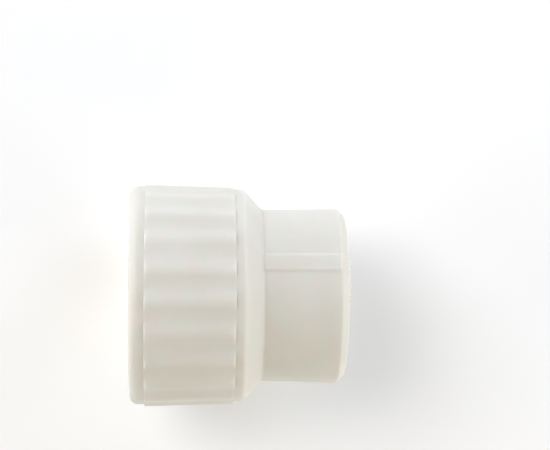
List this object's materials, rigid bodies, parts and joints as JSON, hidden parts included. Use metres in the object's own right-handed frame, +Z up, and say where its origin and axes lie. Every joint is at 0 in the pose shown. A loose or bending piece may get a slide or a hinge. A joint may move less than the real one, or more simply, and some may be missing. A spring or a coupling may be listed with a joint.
{
  "type": "pipe coupling adapter",
  "caption": "White PP-R pipe adapter lying on its side: ribbed grip end with a brass G 3/4 female threaded insert, shoulder, and smooth neck with a 25 mm fusion socket.",
  "frame": {"origin": "on the fitting's axis, in the plane of the threaded end's face", "axes": "+X along the axis, out of the fusion socket; +Z up, with the fitting lying on two of its grip ribs"},
  "size_m": [0.047, 0.0488, 0.0482],
  "materials": {
    "white_pp": "satin",
    "brass": "satin",
    "seal_rubber": "matte"
  },
  "bodies": {
    "root": {"moulded_body": "white_pp", "threaded_insert": "brass", "front_seal_ring": "seal_rubber", "rear_seal_ring": "seal_rubber"}
  },
  "joints": []
}
